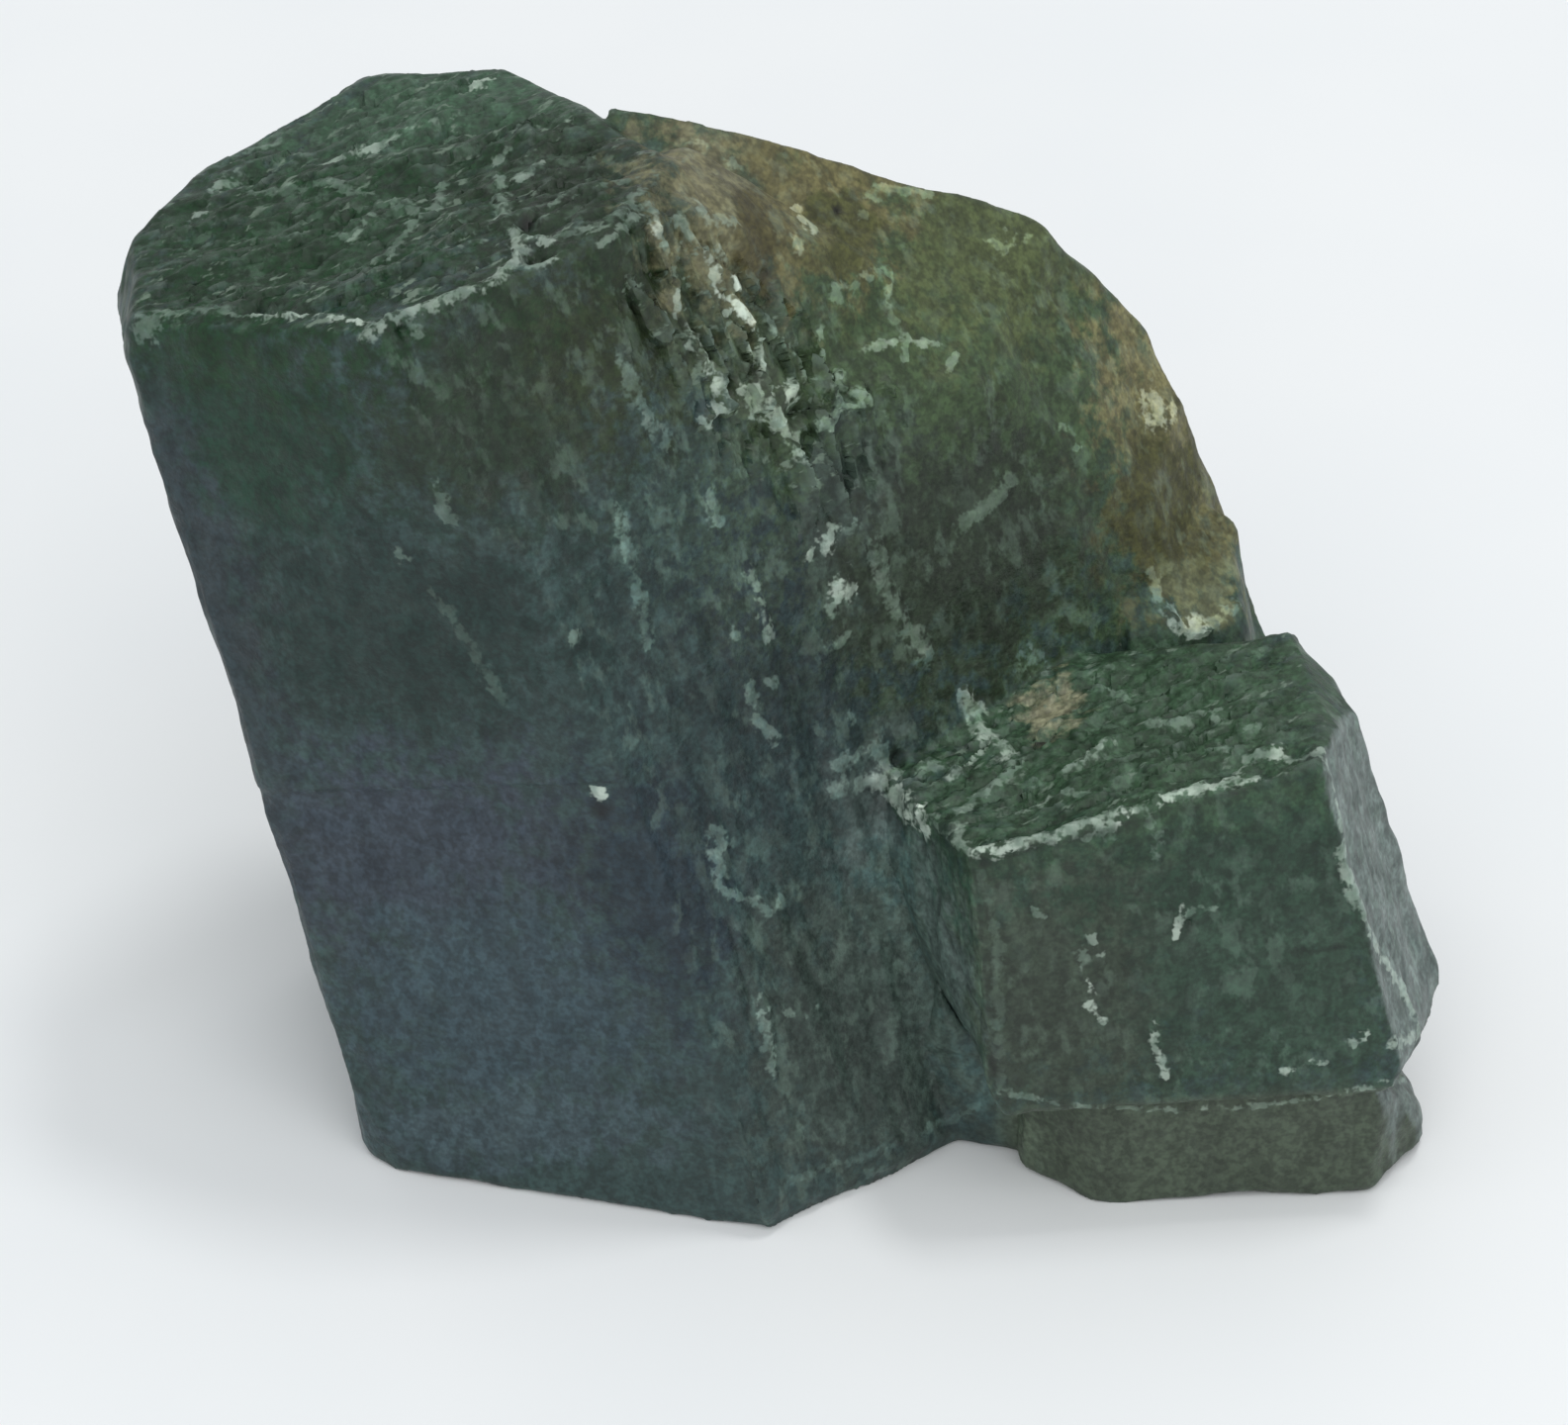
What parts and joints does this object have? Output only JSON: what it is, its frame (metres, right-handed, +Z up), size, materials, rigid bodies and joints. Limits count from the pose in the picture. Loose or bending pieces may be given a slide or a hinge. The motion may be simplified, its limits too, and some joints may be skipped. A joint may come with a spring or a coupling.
{
  "type": "raw emerald",
  "caption": "Rough emerald specimen: a leaning six-sided beryl prism grown together with an olive block and a smaller crystal, with stepped broken tops, resting on its worn underside.",
  "frame": {"origin": "on the surface that the stone rests on, under the middle of its box", "axes": "+Z up; -Y towards the stone's front, where the main crystal's smooth face and the smaller crystal show; +X to the right, towards the smaller crystal"},
  "size_m": [0.0336, 0.019, 0.0257],
  "materials": {
    "emerald_rough": "matte"
  },
  "bodies": {
    "root": {"emerald": "emerald_rough"}
  },
  "joints": []
}
